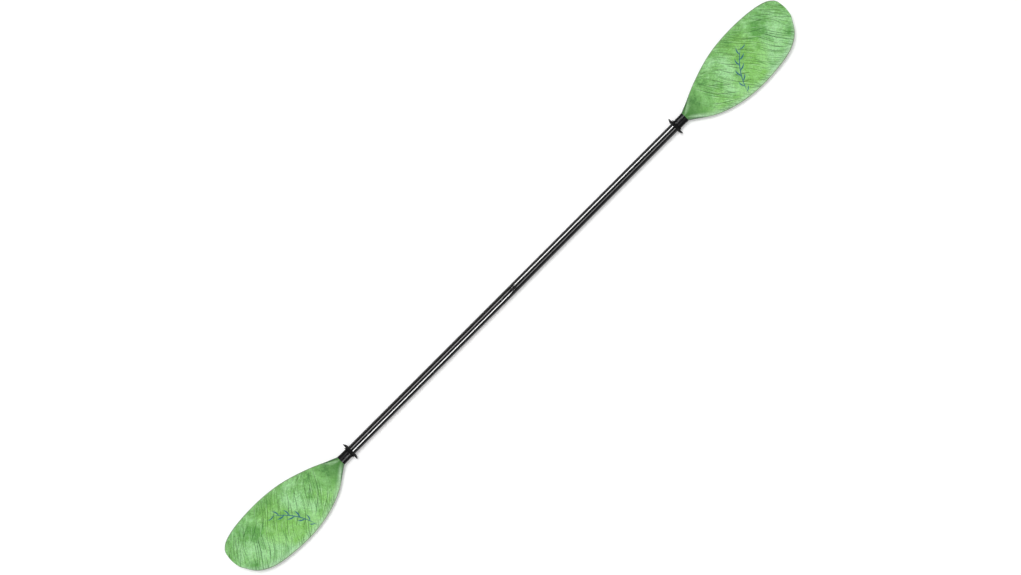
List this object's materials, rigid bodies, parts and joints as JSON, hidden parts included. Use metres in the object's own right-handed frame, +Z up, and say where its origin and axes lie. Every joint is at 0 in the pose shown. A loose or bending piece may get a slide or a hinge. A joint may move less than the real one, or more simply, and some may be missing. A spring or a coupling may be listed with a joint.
{
  "type": "double-bladed kayak paddle",
  "caption": "Two-piece kayak paddle: printed asymmetric blades on a carbon tube shaft, rubber drip rings, and a push-button ferrule that feathers and pulls apart.",
  "frame": {"origin": "under the middle of the shaft, on the plane that the two drip rings stand on", "axes": "+X along the shaft towards the right blade, +Y towards the blades' long edges, +Z up, out of the blades' hollow faces"},
  "size_m": [2.3, 0.185, 0.0596],
  "materials": {
    "blade": "gloss",
    "shrink_sleeve": "satin",
    "rubber": "matte",
    "carbon": "gloss",
    "liner": "satin",
    "insert": "satin",
    "end_plug": "satin",
    "foam": "matte",
    "spring_steel": "polished"
  },
  "bodies": {
    "left_half": {"left_blade": "blade", "left_shrink_sleeve": "shrink_sleeve", "left_shaft_tube": "carbon", "ferrule_sleeve": "liner", "left_float_plug": "foam"},
    "seam_seal": {"seal_ring": "rubber"},
    "right_half": {"right_blade": "blade", "right_shrink_sleeve": "shrink_sleeve", "right_shaft_tube": "carbon", "ferrule_insert": "insert", "insert_end_plug": "end_plug", "right_float_plug": "foam"},
    "button": {"snap_clip": "spring_steel"},
    "left_ring": {"left_drip_ring": "rubber"},
    "right_ring": {"right_drip_ring": "rubber"}
  },
  "joints": [
    {"name": "pull_apart", "type": "slide", "parent": "left_half", "child": "seam_seal", "axis": [1, 0, 0], "range_m": [0, 0.115], "deforming": ["snap_clip"]},
    {"name": "feather", "type": "hinge", "parent": "seam_seal", "child": "right_half", "pos_m": [0, 0, 0.02979], "axis": [1, 0, 0], "range_deg": [-60, 60], "deforming": ["snap_clip"]},
    {"name": "button_press", "type": "slide", "parent": "right_half", "child": "button", "axis": [0, 0, -1], "range_m": [0, 0.005], "stiffness_N_per_m": 2500, "springref_m": -0.003, "deforming": ["snap_clip"]},
    {"name": "left_ring_slide", "type": "slide", "parent": "left_half", "child": "left_ring", "axis": [1, 0, 0], "range_m": [0, 0.3]},
    {"name": "right_ring_slide", "type": "slide", "parent": "right_half", "child": "right_ring", "axis": [-1, 0, 0], "range_m": [0, 0.3]}
  ]
}
